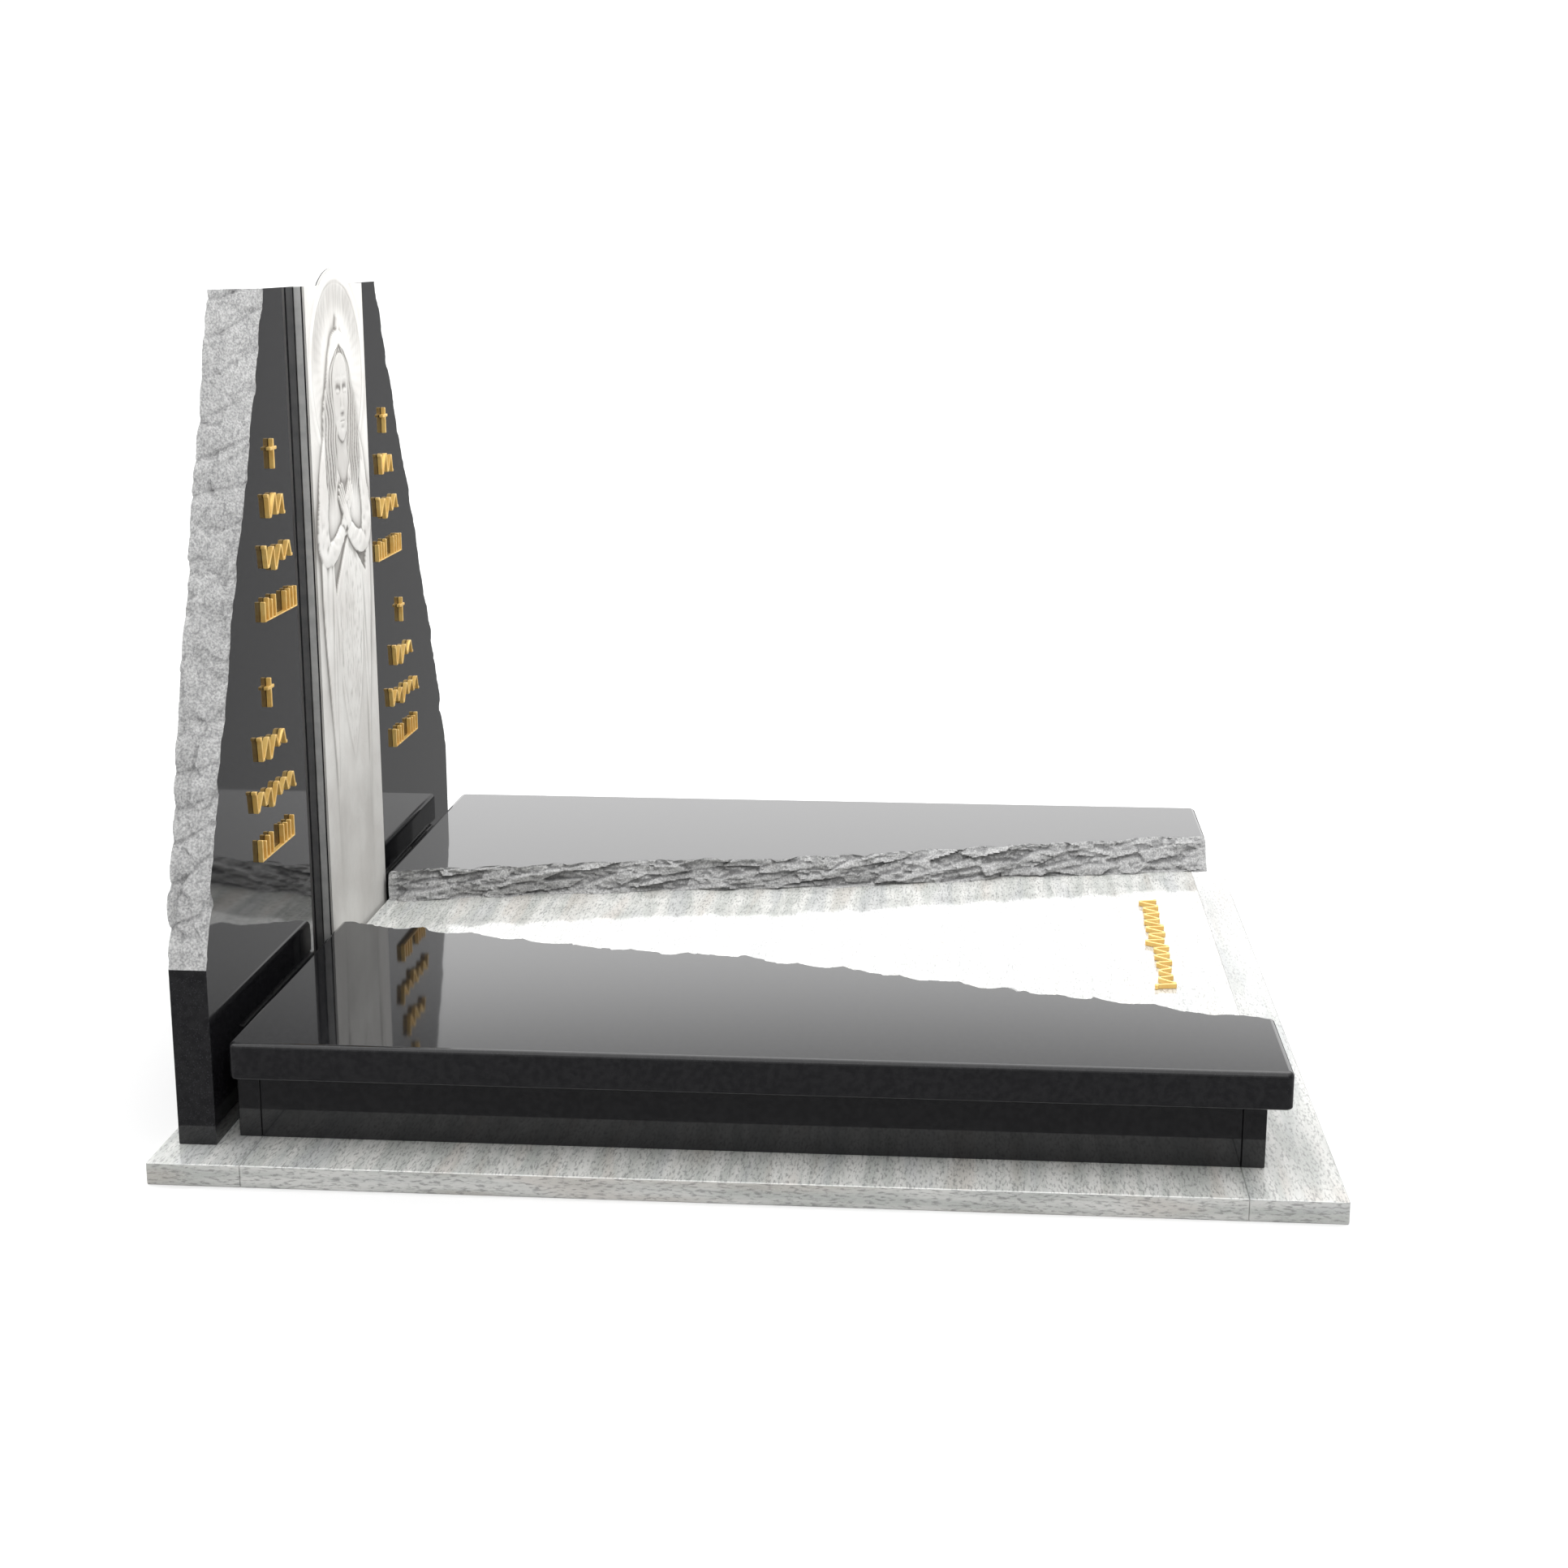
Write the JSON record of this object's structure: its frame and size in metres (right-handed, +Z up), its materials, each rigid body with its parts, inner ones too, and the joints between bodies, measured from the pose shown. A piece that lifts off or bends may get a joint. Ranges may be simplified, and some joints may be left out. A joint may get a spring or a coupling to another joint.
{
  "type": "double grave monument",
  "caption": "Double grave monument of polished black granite on light paving, with rock-faced edges, a tapering headstone and a marble relief of a veiled figure under a halo.",
  "frame": {"origin": "On the ground, under the middle of the paving.", "axes": "+Z up, +Y towards the head of the grave, where the headstone stands, +X to the right of someone who stands at the foot and faces the headstone."},
  "size_m": [2.166, 2.2, 1.6523],
  "materials": {
    "black_granite": "polished black granite, rock-faced along the broken edges",
    "light_granite": "polished light granite with grey-green streaks",
    "white_marble": "carved white marble, honed",
    "black_liner": "thin black sheet",
    "gilt_metal": "satin gilt metal"
  },
  "bodies": {
    "root": {"paving_head_strip": "light_granite", "paving_foot_strip": "light_granite", "paving_side_strip_left": "light_granite", "paving_side_strip_right": "light_granite", "kerb_head_panel": "black_granite", "kerb_foot_panel": "black_granite", "kerb_side_panel_left": "black_granite", "kerb_side_panel_right": "black_granite", "centre_plate": "light_granite", "cover_slab_left": "black_granite", "cover_slab_right": "black_granite", "headstone": "black_granite", "backing_plate": "light_granite", "relief_liner": "black_liner", "relief_panel": "white_marble", "inscription_left_upper_cross": "gilt_metal", "inscription_left_upper_first_row": "gilt_metal", "inscription_left_upper_second_row": "gilt_metal", "inscription_left_upper_dates": "gilt_metal", "inscription_left_lower_cross": "gilt_metal", "inscription_left_lower_first_row": "gilt_metal", "inscription_left_lower_second_row": "gilt_metal", "inscription_left_lower_dates": "gilt_metal", "inscription_right_upper_cross": "gilt_metal", "inscription_right_upper_first_row": "gilt_metal", "inscription_right_upper_second_row": "gilt_metal", "inscription_right_upper_dates": "gilt_metal", "inscription_right_lower_cross": "gilt_metal", "inscription_right_lower_first_row": "gilt_metal", "inscription_right_lower_second_row": "gilt_metal", "inscription_right_lower_dates": "gilt_metal", "inscription_plate_row": "gilt_metal"}
  },
  "joints": []
}
